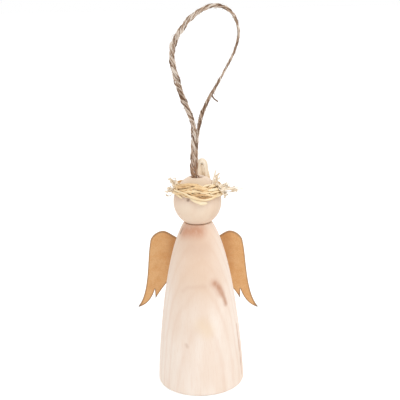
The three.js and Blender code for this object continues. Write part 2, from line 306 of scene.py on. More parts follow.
twine = {
    "fold": 90.3,  # height where it leaves the bead
    "diameter": 1.9,
    "step": 0.45,  # between points of the route
    "twist": [  # share of the length, mm for a turn of the plies
        (0, 9), (0.14, 11), (0.22, 17), (0.36, 14), (0.46, 8), (0.6, 9), (1, 9),
    ],
    "paleness": [  # share of the length, change of tone
        (0, -0.15), (0.05, -0.1), (0.09, -0.03), (0.14, -0.08), (0.18, -0.34), (0.23, -0.28), (0.27, -0.12),
        (0.32, -0.03), (0.45, -0.11), (0.6, -0.2), (0.74, -0.32), (0.85, -0.43), (0.89, -0.15), (1, -0.15),
    ],
    "warmBelow": (104, 94),  # heights between which it turns browner
    "fibrePitch": 9,
    "plies": 2,
    "fibres": 12,
    "fibre": 0.19,
    "fibreSides": 6,
    "fibreReach": 0.64,  # of the twine's half width, round the middle of a ply
    "plyReach": 0.22,
    "inset": 0.12,
    "wander": {  # mm from one change to the next, and its size
        "turn": (9, 0.5), "about": (6, 0.9), "out": (3, 0.3),
        "reach": (6, 0.15), "thick": (2, 0.2), "shade": (6, 0.3),
    },
    "hairs": 300,
    "hairLength": 2.1,
    "hairRoot": 0.42,  # of the width
    "hairTaper": (0.05, 0.05, 0.045, 0.035, 0.015),
    "seed": 4,
    "route": [
        (-1.175, 0, 0), (-1.7, 0.15, 1.4), (-1.75, -0.2, 4), (-1.45, -0.75, 7.5), (-1.2, -1, 11),
        (-1.0, -1.05, 16), (-1.0, -0.9, 21.5), (-2.1, -0.5, 25.6), (-3.6, 0, 29.3), (-5.1, 0.3, 33),
        (-6.35, 0.5, 36.8), (-7.6, 0.6, 41.5), (-8.6, 0.6, 46.5), (-8.8, 0.4, 50.9), (-8, 0.2, 54.3),
        (-6.3, 0, 57.5), (-4.4, -0.1, 60.1), (-2.3, -0.2, 62.7), (0.4, -0.2, 65), (3.8, -0.2, 67.1),
        (7.3, -0.1, 68.3), (10.6, 0, 68.2), (13.4, 0.2, 67), (15.6, 0.4, 64.8), (17.2, 0.6, 61.5),
        (17.8, 0.7, 58), (17.3, 0.8, 54.6), (16.1, 0.8, 50.8), (14.2, 0.8, 47), (11.6, 0.7, 42.3),
        (8.9, 0.6, 37.7), (6.2, 0.5, 33.2), (3.9, 0.5, 28.9), (2.3, 0.6, 25), (1.25, 0.9, 21),
        (0.5, 1.2, 16), (0.05, 1.3, 11), (0, 1.3, 6), (-0.35, 1.25, 3), (-0.2, 1.05, 1.2), (0.2, 0.7, 0),
    ],
    "flatness": [  # share of the length, width across the loop, width through it
        (0, 2.3, 1.5), (0.03, 2.4, 1.4), (0.1, 2.2, 1.4), (0.17, 2.5, 1.2), (0.24, 3.0, 1.1),
        (0.36, 2.7, 1.0), (0.44, 2.3, 1.2), (0.54, 1.6, 1.5), (0.6, 1.05, 1.8), (0.72, 0.95, 1.9),
        (0.77, 1.5, 1.5), (0.84, 1.9, 1.3), (0.9, 1.4, 1.5), (1, 1.4, 1.5),
    ],
    "stray": [(6.6, 0.3, 34.2), (7.0, -0.2, 33.0), (7.8, -0.4, 31.9), (9.2, -0.5, 30.9)],
    "strayStep": 0.3,
    "strayThick": (0.36, 0.26),
}


def layTwine(bundle, path, outward, wide, deep, rng):
    _, side, up = framesAlong(path, outward)
    run = lengthAlong(path)
    count, whole = len(path), run[-1]
    lay = atShares(twine["twist"], run / whole)
    pale = atShares(twine["paleness"], run / whole)
    twisted = np.cumsum(2 * math.pi / lay * np.gradient(run))

    def wander(key):
        apart, size = twine["wander"][key]
        return drift(rng, count, whole / apart, size)

    for ply in range(twine["plies"]):
        turn = 2 * math.pi * (ply / twine["plies"]) + twisted + wander("turn")
        for fibre in range(twine["fibres"]):
            about = 2 * math.pi * (fibre / (twine["fibres"] - 1) - run / twine["fibrePitch"])
            about = about + wander("about")
            out = (twine["fibreReach"] if fibre else 0.0) * (1 + wander("out"))
            reach = twine["plyReach"] * (1 + wander("reach"))
            u = reach * np.cos(turn) + out * np.cos(about)
            v = reach * np.sin(turn) + out * np.sin(about)
            thick = twine["fibre"] * rng.uniform(0.75, 1.2) * (1 + wander("thick"))
            line = path + side * (u * (wide / 2 - twine["inset"]))[:, None]
            line = line + up * (v * (deep / 2 - twine["inset"]))[:, None]
            shade = np.clip(rng.uniform(0, 1) + wander("shade") + pale, 0, 1)
            layFibre(bundle, line, thick, twine["fibreSides"], shade)


def layHairs(bundle, path, wide, deep, rng):
    tangent, side, up = framesAlong(path, facing((0, 1, 0), path))
    taper = np.array(twine["hairTaper"])
    share = np.linspace(0, 1, len(taper))[:, None]
    for _ in range(twine["hairs"]):
        at = rng.integers(2, len(path) - 2)
        angle = rng.uniform(0, 2 * math.pi)
        across, through = side[at] * math.cos(angle), up[at] * math.sin(angle)
        start = path[at] + across * wide[at] * twine["hairRoot"] + through * deep[at] * twine["hairRoot"]
        size = twine["hairLength"] * rng.uniform(0.35, 1) ** 1.5
        outward = (across + through) * rng.uniform(0.3, 0.9)
        heading = unit(outward + tangent[at] * rng.choice([-1, 1]) * rng.uniform(0.4, 1))
        bend = rng.normal(0, 0.35, 3)
        line = start + (heading * share + bend * share**2 * 0.5) * size
        layFibre(bundle, line, taper, 3, rng.uniform(0, 0.7))


def makeLoop():
    rng = np.random.default_rng(twine["seed"])
    lift = np.array([0, 0, twine["fold"]])
    path = smoothRun(twine["route"], twine["step"]) + lift
    share = np.linspace(0, 1, len(path))
    wide, deep = atShares(twine["flatness"], share, 1), atShares(twine["flatness"], share, 2)
    bundle = Bundle()
    layTwine(bundle, path, facing((0, 1, 0), path), wide, deep, rng)
    layHairs(bundle, path, wide, deep, rng)
    loop = bundle.toObject("twineLoop")
    stray = Bundle()
    line = smoothRun(twine["stray"], twine["strayStep"]) + lift
    layFibre(stray, line, np.linspace(*twine["strayThick"], len(line)), twine["fibreSides"], 0.0)
    strayFibre = stray.toObject("strayFibre")
    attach(loop, "loop")
    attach(strayFibre, "loop")
    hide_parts("hanging_loop")
    return loop, strayFibre


knot = {
    "top": 69.8,  # just under the bead's bore
    "wrapRadius": 2.0,
    "wraps": 3,
    "wrapPoints": 12,
    "pack": 0.94,  # how close the turns lie
    "diameter": 1.75,
    "step": 0.6,
    "facing": (0.2, 0.9, 0.35),
    "seed": 11,
    "leftLeg": [(-1.3, -0.2, 90.5), (-1.175, 0, 80), (-1.3, 0, 71.5)],
    "leftTail": [(-1.3, 0.9, -0.9), (-0.9, 0.4, -3)],  # from the level of the last turn
    "rightLeg": [(0.3, 0.6, 90.5), (1.175, 0, 80), (0.9, 0, 71.5), (0.15, 0, 68.5)],
    "rightTail": [(0.1, 0, 0), (0.9, -0.2, -3)],
}


def makeKnot():  # the twine on its way down through the bead, and the stopper knot that holds it
    rng = np.random.default_rng(knot["seed"])
    bundle = Bundle()
    drop = twine["diameter"]
    steps = knot["wrapPoints"] * knot["wraps"]
    angle = np.linspace(math.pi, math.pi + 2 * math.pi * knot["wraps"], steps + 1)
    level = knot["top"] - drop / 2 - drop * (angle - math.pi) / (2 * math.pi) * knot["pack"]
    circle = knot["wrapRadius"] * np.stack([np.cos(angle), np.sin(angle)], axis=1)
    wraps = np.column_stack([circle, level])
    foot = np.array([0, 0, level[-1]])
    left = np.vstack([knot["leftLeg"], wraps, foot + knot["leftTail"]])
    right = np.vstack([knot["rightLeg"], foot + knot["rightTail"]])
    for points in (left, right):
        path = smoothRun(points, knot["step"])
        full = np.full(len(path), knot["diameter"])
        layTwine(bundle, path, facing(knot["facing"], path), full, full, rng)
    made = bundle.toObject("stopperKnot")
    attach(made, "figure")
    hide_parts("hanger_knot")
    return made


def juteFinish():
    jute = Finish("jute")
    tone, along, across = jute.value("tone"), jute.value("along"), jute.value("across")
    lie = jute.node("CombineXYZ", sockets={0: along * 0.35, 1: across * 2.2, 2: tone * 40})
    streak = jute.noise(lie, 1.6, 3.0, 0.6)
    shade = jute.smooth(tone * 0.75 + streak * 0.55, 0.15, 1.05)
    deep = jute.blend(jute.smooth(shade, 0, 0.4), tint(112, 80, 54), tint(190, 162, 138))
    colour = jute.blend(jute.smooth(shade, 0.35, 0.95), deep, tint(230, 217, 203))
    height = jute.parts(jute.place())[2]
    colour = jute.blend(jute.smooth(height, *twine["warmBelow"]) * 0.4, colour, tint(168, 114, 72))
    jute.put("Base Color", colour)
    jute.put("Roughness", 0.8 + streak * 0.15)
    jute.bump(streak, 0.5, 0.0002)
    return jute


jute = juteFinish()
loop, strayFibre = makeLoop()
stopperKnot = makeKnot()
for piece in (loop, strayFibre, stopperKnot):
    dress(piece, jute)
print("twine laid:", len(loop.data.polygons), "faces on the loop")


# turned wood

def clearSelection():
    bpy.ops.object.select_all(action="DESELECT")


lathe = {
    "weld": 0.002,  # mm
    "crease": 35,  # degrees at which an edge stays sharp
}


def turnOnLathe(name, profile, steps):  # profile of (radius, height) in mm, spun about the axis
    clearSelection()
    bpy.ops.mesh.primitive_plane_add(size=mm)
    made = bpy.context.active_object
    made.name = name
    bpy.ops.object.mode_set(mode="EDIT")
    bpy.ops.mesh.select_all(action="SELECT")
    bpy.ops.mesh.merge(type="CENTER")
    radius, height = profile[0]
    bpy.ops.transform.translate(value=(radius * mm, 0, height * mm))
    for (r0, z0), (r1, z1) in zip(profile, profile[1:]):
        step = ((r1 - r0) * mm, 0, (z1 - z0) * mm)
        bpy.ops.mesh.extrude_vertices_move(TRANSFORM_OT_translate={"value": step})
    bpy.ops.mesh.select_all(action="SELECT")
    bpy.ops.mesh.spin(steps=steps, angle=2 * math.pi, center=(0, 0, 0), axis=(0, 0, 1))
    bpy.ops.mesh.select_all(action="SELECT")
    bpy.ops.mesh.remove_doubles(threshold=lathe["weld"] * mm)
    bpy.ops.mesh.normals_make_consistent(inside=False)
    bpy.ops.object.mode_set(mode="OBJECT")
    bpy.ops.object.shade_smooth_by_angle(angle=math.radians(lathe["crease"]))
    return made


def arc(radius, height, size, start, end, steps):
    angles = np.radians(np.linspace(start, end, steps + 1))
    return [(radius + size * math.cos(a), height + size * math.sin(a)) for a in angles]


bodyForm = {
    "height": 71,
    "base": 18.5,  # radius
    "baseInner": 9,
    "round": 0.8,
    "neck": 6.1,
    "pulls": (6.8, 9.3, 15.1),
    "flankTop": 0.25,  # below the height
    "flankSteps": 64,
    "rim": 0.28,
    "rimInset": 0.3,
    "seat": 10.04,  # dish that the bead sits in
    "lip": 4.9,
    "socket": 3.6,
    "socketFloor": 60.5,
    "headCentre": 79.8,
    "turns": 112,  # facets round the axis
}


def bodyProfile():
    form = bodyForm
    rise, reach, drop = form["pulls"]
    low = np.array([form["base"], form["round"]])
    high = np.array([form["neck"], form["height"] - form["flankTop"]])
    first, second = low + [0, rise], np.array([form["neck"] + reach, form["height"] - drop])
    share = np.linspace(0, 1, form["flankSteps"])[1:, None]
    rest = 1 - share
    flank = low * rest**3 + 3 * first * rest**2 * share + 3 * second * rest * share**2 + high * share**3
    ease = arc(form["base"] - form["round"], form["round"], form["round"], -90, 0, 6)
    rim = arc(form["neck"] - form["rimInset"], form["height"] - form["rim"], form["rim"], 20, 90, 4)
    lip = -math.degrees(math.acos(form["lip"] / form["seat"]))
    mouth = -math.degrees(math.acos(form["socket"] / form["seat"]))
    dish = arc(0, form["headCentre"], form["seat"], lip, mouth, 5)
    socket = [(form["socket"], form["socketFloor"]), (0, form["socketFloor"])]
    return [(0, 0), (form["baseInner"], 0), *ease, *flank.tolist(), *rim, *dish, *socket]


headForm = {
    "radius": 10,
    "bore": 2.3,
    "mouth": 0.9,  # eased edge of the bore
    "rise": 1.12,  # stretch of the upper half
    "ballSteps": 72,
    "turns": 96,
}


def headProfile():
    form, centre = headForm, bodyForm["headCentre"]
    edge = math.degrees(math.acos((form["bore"] + form["mouth"]) / form["radius"]))
    top = form["radius"] * math.sin(math.radians(edge))
    ball = arc(0, centre, form["radius"], -edge, edge, form["ballSteps"])
    mouth = arc(form["bore"] + form["mouth"], centre + top - form["mouth"], form["mouth"], 90, 180, 4)
    under = [(r, 2 * centre - z) for r, z in reversed(mouth)]
    ring = [(r, centre + (z - centre) * (form["rise"] if z > centre else 1))
            for r, z in (*ball, *mouth, *under)]
    return [*ring, ring[0]]


def onFront(profile, x, z):  # the point of a turned piece's front that is seen at x and z
    nearby = 1.2  # mm of height
    radius = max(r for r, level in profile if abs(level - z) < nearby)
    return (x, -math.sqrt(max(radius**2 - x**2, 0)), z)


def woodFinish(name, marks, profile):
    wood = Finish(name)
    place = wood.place()
    x, y, _ = wood.parts(place)
    warp = wood.noise(wood.vector("MULTIPLY", place, (0.07, 0.07, 0.022)), 1.0, 3.0)
    pith = marks["pith"]
    acrossX, acrossY = x - pith[0], y - pith[1]
    ring = wood.sum("SQRT", acrossX * acrossX + acrossY * acrossY) + (warp - 0.5) * marks["warp"]
    wave = wood.sum("SINE", ring * (2 * math.pi / marks["ring"])) * 0.5 + 0.5
    late = wave ** 5.0
    fibre = wood.noise(wood.vector("MULTIPLY", place, (2.4, 2.4, 0.09)), 1.0, 3.0, 0.6)
    broad = wood.noise(wood.vector("MULTIPLY", place, (0.16, 0.16, 0.045)), 1.0, 2.0)
    flush = wood.smooth(broad, 0.35, 0.7)
    colour = wood.blend(flush * 0.45 + 0.12, tint(*marks["pale"]), tint(*marks["warm"]))
    colour = wood.blend(late * 0.16 + wave * 0.06, colour, tint(*marks["late"]))
    colour = wood.blend(wood.smooth(fibre, 0.45, 0.85) * 0.4, colour, tint(*marks["streak"]))
    ragged = wood.noise(wood.vector("MULTIPLY", place, (0.8, 0.8, 0.35)), 1.0, 3.0, 0.6)
    for points, size, strength, shade in marks["lines"]:
        laid = [onFront(profile, x, z) for x, z in points]
        rough = marks["ragged"] if size < marks["broad"] else marks["soft"]
        spread = wood.mark(place, laid, size) * (wood.smooth(ragged, 0.15, 0.6) * rough + (1 - rough))
        colour = wood.blend(spread * strength, colour, tint(*shade))
    wood.put("Base Color", colour)
    wood.put("Roughness", 0.5 + fibre * 0.2)
    turning = wood.noise(wood.vector("MULTIPLY", place, (0.05, 0.05, 5.0)), 1.0, 2.0)
    wood.bump(fibre * 0.6 + late * 0.25 + turning * 0.25, 0.25, 0.00012)
    return wood


bodyMarks = {
    "pith": (1, 52), "ring": 2.6, "warp": 4.5, "pale": (248, 235, 223), "warm": (238, 214, 194),
    "late": (224, 188, 162), "streak": (228, 198, 174),
    "ragged": 0.35, "soft": 0.1, "broad": 6,  # how uneven a mark is, and the size past which it is soft
    "lines": [  # points across and up the front, size, strength and colour
        ([(-1.0, 66.0), (0.0, 52.0)], 20.0, 0.78, (226, 193, 165)),  # painted shade of the head and halo, darker towards the neck
        # painted shade, darker just under the head
        ([(-3.5, 63.8), (1.5, 62.6)], 8.0, 0.38, (210, 174, 150)),
        ([(-6.0, 68.6), (0.3, 69.2)], 5.2, 0.8, (197, 136, 102)),  # heartwood under the neck
        ([(-6.7, 44.9), (-4.9, 46.4), (-1.5, 46.9), (2.4, 47.1)], 1.6, 0.26, (212, 174, 150)),  # faint ring
        ([(-4.5, 42.0), (-4.5, 30.0)], 12.0, 0.3, (224, 196, 172)),
        ([(6.2, 47.8), (7.6, 46.0), (8.8, 43.6)], 3.4, 0.6, (206, 158, 130)),  # knot streak
        ([(6.6, 47.6), (8.4, 45.2), (9.6, 42.6), (10.5, 40.2), (10.9, 38.2)], 1.9, 0.75, (188, 136, 106)),
        ([(15.5, 26.6), (16.7, 15.0)], 1.3, 0.55, (202, 160, 132)),  # brown streak on the right
        ([(16.5, 18.5), (17.2, 9.0)], 2.0, 0.4, (204, 164, 138)),
        ([(17.1, 11.0), (17.5, 4.0)], 1.4, 0.5, (200, 158, 130)),
        ([(1.0, 31.0), (3.2, 28.5)], 5.5, 0.35, (240, 214, 176)),  # yellow patch
        ([(-6.7, 69.5), (-7.5, 67.2)], 0.8, 0.9, (120, 92, 74)),  # nick
        ([(-5.9, 22.4), (-5.7, 21.8)], 1.3, 0.5, (206, 176, 154)),
    ],
}
headMarks = {
    "pith": (16, 26), "ring": 2.6, "warp": 4, "pale": (241, 221, 201), "warm": (238, 210, 186),
    "late": (226, 192, 166), "streak": (228, 198, 172),
    "ragged": 0.35, "soft": 0.1, "broad": 6,
    "lines": [
        ([(-6, 77), (5, 76)], 7, 0.35, (243, 220, 190)),
        ([(-3.9, 82.7), (-3.7, 82.9)], 1.1, 1.0, (96, 64, 42)),  # a pore
        # painted shadow of the halo on the head, just under the band
        ([(-8.5, 83), (-3, 84)], 4, 0.4, (222, 188, 166)),
        ([(8.6, 81), (7.2, 75.5)], 5.5, 0.5, (216, 184, 154)),  # shade on the right
        ([(-2.5, 88.9), (2.5, 88.9)], 8, 0.9, (214, 189, 160)),
    ],
}

body = turnOnLathe("turnedBody", bodyProfile(), bodyForm["turns"])
head = turnOnLathe("beadHead", headProfile(), headForm["turns"])
bodyFinish = woodFinish("bodyWood", bodyMarks, bodyProfile())
headFinish = woodFinish("beadWood", headMarks, headProfile())
for piece, node, finish in ((body, "body", bodyFinish), (head, "head", headFinish)):
    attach(piece, "figure")
    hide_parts(node)
    dress(piece, finish)
print("wood turned")


# leather wings

wing = {
    "thickness": 1.0,
    "level": 49.65,
    "shift": -0.9,
    "stagger": 0.55,
    "standoff": 1.2,
    "lean": 11.42,  # of the body where they are glued
    "radius": 13.05,
    "curl": {-1: 0.001, 1: -0.006},  # of the long feathers, left and right
    "tip": (27.4, -25.5),
    "crest": (14.6, 13.5),
    "shoulder": (20.4, 7.9),
    "notch": (19.4, -15.9),
    "feather": (19.3, -21.0),
    "rootTop": 6.0,
    "rootBottom": -1.5,
    "rootGap": 0.06,  # from the middle
    "rootPull": 9,
    "rootFlare": 2.8,
    "crestPull": 2.8,
    "shoulderPull": 2.6,
    "edgeFlare": 1.6,
    "edgePull": 7,
    "tipPull": 5.6,
    "tipCurl": 1.5,
    "featherPull": 2.4,
    "weave": 0.6,  # spacing of the cuts that let the leather bend
    "cutsAcross": (0.5, 27.0),
    "cutsAlong": (-25.8, 13.4),
    "curlFrom": (17, 8),  # out and down, where the long feather starts to curl
    "paintedShadeMiddle": 0.5,
    "paintedShadeAt": (16.2, 10.8),  # from that middle, where painted shade of the body darkens the front
    "bevel": 0.14,
    "bevelAngle": 60,
    "crease": 40,
}


def bezier(points, steps):
    share = np.linspace(0, 1, steps + 1)[1:, None]
    level = [np.array(p, float) * np.ones_like(share) for p in points]
    while len(level) > 1:
        level = [a * (1 - share) + b * share for a, b in zip(level, level[1:])]
    return level[0].tolist()


def wingOutline():
    tip, crest, shoulder = wing["tip"], wing["crest"], wing["shoulder"]
    notch, feather = wing["notch"], wing["feather"]
    top, bottom = (wing["rootGap"], wing["rootTop"]), (wing["rootGap"], wing["rootBottom"])
    rootPull, rootFlare, crestPull = wing["rootPull"], wing["rootFlare"], wing["crestPull"]
    edgePull, tipPull, featherPull = wing["edgePull"], wing["tipPull"], wing["featherPull"]
    overCrest = [(crest[0] + crestPull, crest[1]), (shoulder[0], shoulder[1] + wing["shoulderPull"])]
    belowShoulder = (shoulder[0] + wing["edgeFlare"], shoulder[1] - edgePull)
    downEdge = [belowShoulder, (tip[0] - tipPull, tip[1] + edgePull)]
    toRoot = [(feather[0] - featherPull, feather[1] + 2 * featherPull), (rootPull, bottom[1] - rootFlare)]
    return [
        top,
        *bezier([top, (rootPull, top[1] + rootFlare), (crest[0] - crestPull, crest[1]), crest], 16),
        *bezier([crest, *overCrest, shoulder], 12),
        *bezier([shoulder, *downEdge, tip], 26),
        *bezier([tip, (tip[0] - tipPull, tip[1] + wing["tipCurl"]), notch], 16),
        *bezier([notch, (feather[0], notch[1] - featherPull), feather], 8),
        *bezier([feather, *toRoot, bottom], 22),
    ]


def rimDistance(points, outline):  # from points of the sheet to the cut edge
    edge = np.array(outline + outline[:1])
    start, along = edge[:-1], np.diff(edge, axis=0)
    offset = points[:, None] - start
    share = np.clip(np.sum(offset * along, axis=2) / np.sum(along * along, axis=1), 0, 1)
    return np.linalg.norm(offset - share[..., None] * along, axis=2).min(axis=1)


def cutWing(name, side):
    outline = wingOutline()
    clearSelection()
    bpy.ops.mesh.primitive_circle_add(vertices=len(outline), radius=mm, fill_type="NGON")
    made = bpy.context.active_object
    made.name = name
    for vertex, (u, v) in zip(made.data.vertices, outline):
        vertex.co = (side * u * mm, v * mm, 0)
    bpy.ops.object.mode_set(mode="EDIT")
    for axis, reach in (((1, 0, 0), wing["cutsAcross"]), ((0, 1, 0), wing["cutsAlong"])):
        for at in np.arange(*reach, wing["weave"]):
            bpy.ops.mesh.select_all(action="SELECT")
            spot = [side * at * mm if axis[0] else 0, at * mm if axis[1] else 0, 0]
            bpy.ops.mesh.bisect(plane_co=spot, plane_no=axis)
    bpy.ops.mesh.select_all(action="SELECT")
    bpy.ops.mesh.normals_make_consistent(inside=False)
    bpy.ops.object.mode_set(mode="OBJECT")
    if made.data.polygons[0].normal.z < 0:
        made.data.flip_normals()
    solid = made.modifiers.new("thickness", "SOLIDIFY")
    solid.thickness = wing["thickness"] * mm
    solid.offset = -1
    bpy.ops.object.modifier_apply(modifier=solid.name)
    ease = made.modifiers.new("cutEdge", "BEVEL")
    ease.width = wing["bevel"] * mm
    ease.segments = 2
    ease.limit_method = "ANGLE"
    ease.angle_limit = math.radians(wing["bevelAngle"])
    bpy.ops.object.modifier_apply(modifier=ease.name)
    spots = np.array([v.co for v in made.data.vertices]) / mm
    flat = np.stack([side * spots[:, 0], spots[:, 1]], axis=1)
    ends = np.array([wing["tip"], wing["feather"]])
    keepValue(made.data, "rim", rimDistance(flat, outline))
    keepValue(made.data, "point", np.linalg.norm(flat[:, None] - ends, axis=2).min(axis=1))
    out, down = wing["curlFrom"]
    tipNear = np.maximum(flat[:, 0] - out, 0) * np.maximum(-flat[:, 1] - down, 0)
    spots[:, 2] -= wing["curl"][side] * tipNear
    spots[:, 0] += wing["shift"]
    spots[:, 1] -= side * wing["stagger"] / 2
    lean = math.radians(wing["lean"])
    back, rise = wing["standoff"] * math.cos(lean), wing["standoff"] * math.sin(lean)
    seat = Vector((0, wing["radius"] + back, wing["level"] + rise))
    turn = Matrix.Translation(seat) @ Matrix.Rotation(math.pi / 2 + lean, 4, "X")
    for vertex, spot in zip(made.data.vertices, spots):
        vertex.co = (turn @ Vector(spot)) * mm
    clearSelection()
    made.select_set(True)
    bpy.ops.object.shade_smooth_by_angle(angle=math.radians(wing["crease"]))
    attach(made, "figure")
    return made


def leatherFinish():
    leather = Finish("wingLeather")
    place, rim = leather.place(), leather.value("rim")
    pebble = leather.node("TexVoronoi", sockets={"Vector": place, "Scale": 1.7})
    grain = leather.noise(place, 1.5, 4.0, 0.65)
    mottle = leather.noise(place, 0.28, 3.0)
    colour = leather.blend(leather.smooth(mottle, 0.2, 0.8), tint(220, 163, 102), tint(232, 184, 128))
    colour = leather.blend(leather.smooth(grain, 0.45, 0.75) * 0.3, colour, tint(198, 146, 94))
    colour = leather.blend(leather.smooth(pebble, 0.35, 0.75) * 0.3, colour, tint(238, 196, 148))
    # painted shade of the body on the wings: their front faces darken beside it
    ahead = leather.parts(leather.node("NewGeometry", output="Normal"))[1]
    aside = leather.sum("ABSOLUTE", leather.parts(place)[0] - wing["paintedShadeMiddle"])
    paintedShade = leather.smooth(aside, *wing["paintedShadeAt"]) * leather.smooth(ahead, 0.2, -0.6)
    colour = leather.blend(paintedShade * 0.47, colour, tint(180, 116, 60))
    worn = leather.smooth(rim + (grain - 0.5) * 0.5, 0.75, 0.1)
    colour = leather.blend(worn * 0.7, colour, tint(148, 110, 76))
    soiled = leather.smooth(leather.value("point") + (grain - 0.5) * 0.8, 2.4, 0.4)
    colour = leather.blend(soiled * 0.75, colour, tint(104, 94, 84))
    leather.put("Base Color", colour)
    leather.put("Roughness", 0.68 + grain * 0.18)
    leather.bump(pebble * 0.6 + grain * 0.5, 0.45, 0.00012)
    return leather


def glueFinish():
    glue = Finish("setGlue")
    cloud = glue.noise(glue.place(), 0.9, 3.0)
    glue.put("Base Color", glue.blend(cloud, tint(214, 200, 172), tint(238, 230, 212)))
    glue.put("Roughness", 0.2 + cloud * 0.2)
    glue.put("Coat Weight", 0.3)
    glue.bump(cloud, 0.4, 0.0004)
    return glue


leather = leatherFinish()
leftWing, rightWing = cutWing("leftWing", -1), cutWing("rightWing", 1)
for piece, node in ((leftWing, "left_wing"), (rightWing, "right_wing")):
    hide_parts(node)
    dress(piece, leather)
dress(nodes["wing_glue"], glueFinish())
print("wings cut:", len(leftWing.data.polygons), "faces each")


# raffia halo

halo = {
    "centre": 79.8,
    "inner": 10.15,  # distance of the first strand from the bead's centre
    "outer": 11.5,
    "strands": 20,
    "strandPoints": 24,
    "turns": (0.95, 1.35),  # round the head
    "width": (0.6, 1.15),
    "endTaper": 6,  # points over which an end narrows
    "paleBearing": -30,  # where the band is palest, and how far that spreads
    "paleSpread": 25,
    "paleness": 0.35,
    "splits": 18,
    "splitPoints": 5,
    "splitBearing": (-2.9, -0.5),  # radians
    "splitReach": (0.3, 0.65),
    "splitLevel": (20, 40),  # latitude
    "splitWidth": (0.5, 0.95),
    "step": 0.4,
    "fineStep": 0.3,
    "seed": 21,
    "tieSeed": 5,
    "bowSeed": 8,
    "band": [  # bearing from +X, middle latitude and half height of the band
        (-180, 31, 8), (-150, 33, 9), (-90, 32, 13), (-45, 30, 12), (-15, 28, 10),
        (20, 26, 8), (90, 25, 7), (150, 28, 7), (180, 31, 8),
    ],
    "tufts": [  # root and tip from the bead's centre, strands, spread at the tip
        ((-8.6, -2.6, 7.0), (-10.4, 0.4, 9.4), 9, 0.8),
        ((-9.0, -3.4, 5.9), (-12.4, 0.4, 4.8), 10, 0.9),
        ((7.0, -4.8, 7.6), (8.2, -1.6, 11.6), 10, 0.8),
        ((9.2, -4.6, 6.6), (11.8, -1.4, 7.2), 9, 0.9),
        ((9.4, -5.2, 5.4), (11.4, -2.8, 3.6), 8, 0.8),
        ((10.2, -3.6, 6.2), (15.4, -1.6, 5.2), 5, 0.5),
    ],
    "bow": [  # across, back and share of the height of the loop behind the bead
        (-1.6, 0.9, -0.5), (-1.5, 0.3, -0.15), (-1.35, 0, 0.3), (-1.1, 0, 0.6), (-0.75, 0, 0.8),
        (0, 0, 0.89), (0.75, 0, 0.78), (1.1, 0, 0.5), (1.6, 0, 0.2), (2.1, 0.2, -0.12), (2.4, 0.5, -0.38),
    ],
    "bowInner": [(0.5, 0.8, -0.38), (0.3, 0.5, 0.15), (0.05, 0.35, 0.5), (0, 0.3, 0.78)],
    "slipped": [  # width, tone and route of strands that have slipped down the front
        (0.9, 0.8, [(-9.2, -4.4, 6.6), (-8.9, -5.5, 6.2), (-5.6, -9.4, 5.9), (-2.2, -11.1, 4.6),
                    (0.5, -11.6, 3.8), (3.3, -11.3, 3.3), (6.4, -9.8, 3.8), (8.6, -7.4, 5.0)]),
        (1.7, 1.0, [(-2.9, -10.6, 4.2), (-1.0, -11.2, 3.1), (0.6, -11.4, 2.5), (2.4, -11.2, 2.0),
                    (4.0, -10.6, 1.9)]),
        (1.0, 0.95, [(4.3, -8.9, 6.6), (6.2, -8.3, 6.8), (7.9, -6.9, 6.7), (9.2, -5.0, 6.4),
                     (9.9, -3.0, 6.2)]),
        (0.8, 0.9, [(5.2, -9.2, 5.4), (7.2, -8.1, 5.8), (8.8, -6.2, 5.6), (9.9, -4.2, 5.0)]),
    ],
    "tieTails": [
        [(9.6, -5.4, 6.2), (11.2, -4.4, 6.9), (13.4, -0.6, 8.0)],
        [(9.6, -5.4, 5.6), (12.8, -4.2, 6.0), (15.6, -2.0, 5.5), (18.0, 0.0, 4.4)],
    ],
    "tieStrands": 3,
    "tieAt": (-28.0, 30.0),  # bearing and latitude of the knot
    "tieOut": 12.75,
    "tieSize": 1.25,
    "tieWidth": 0.85,
    "bowRibbons": [(0, 2.8, 0.5), (0.3, 2.3, 0.8), (-0.25, 1.2, 1.0)],  # back, width and tone
    "bowFacing": (0.0, -1.0, 0.15),
    "bowInnerWidth": 1.5,
}
haloLift = np.array([0, 0, halo["centre"]])


def roundHead(distance, bearing, latitude):
    flat = distance * np.cos(latitude)
    height = distance * np.sin(latitude) * headForm["rise"]
    return np.stack([flat * np.cos(bearing), flat * np.sin(bearing), height], axis=-1)


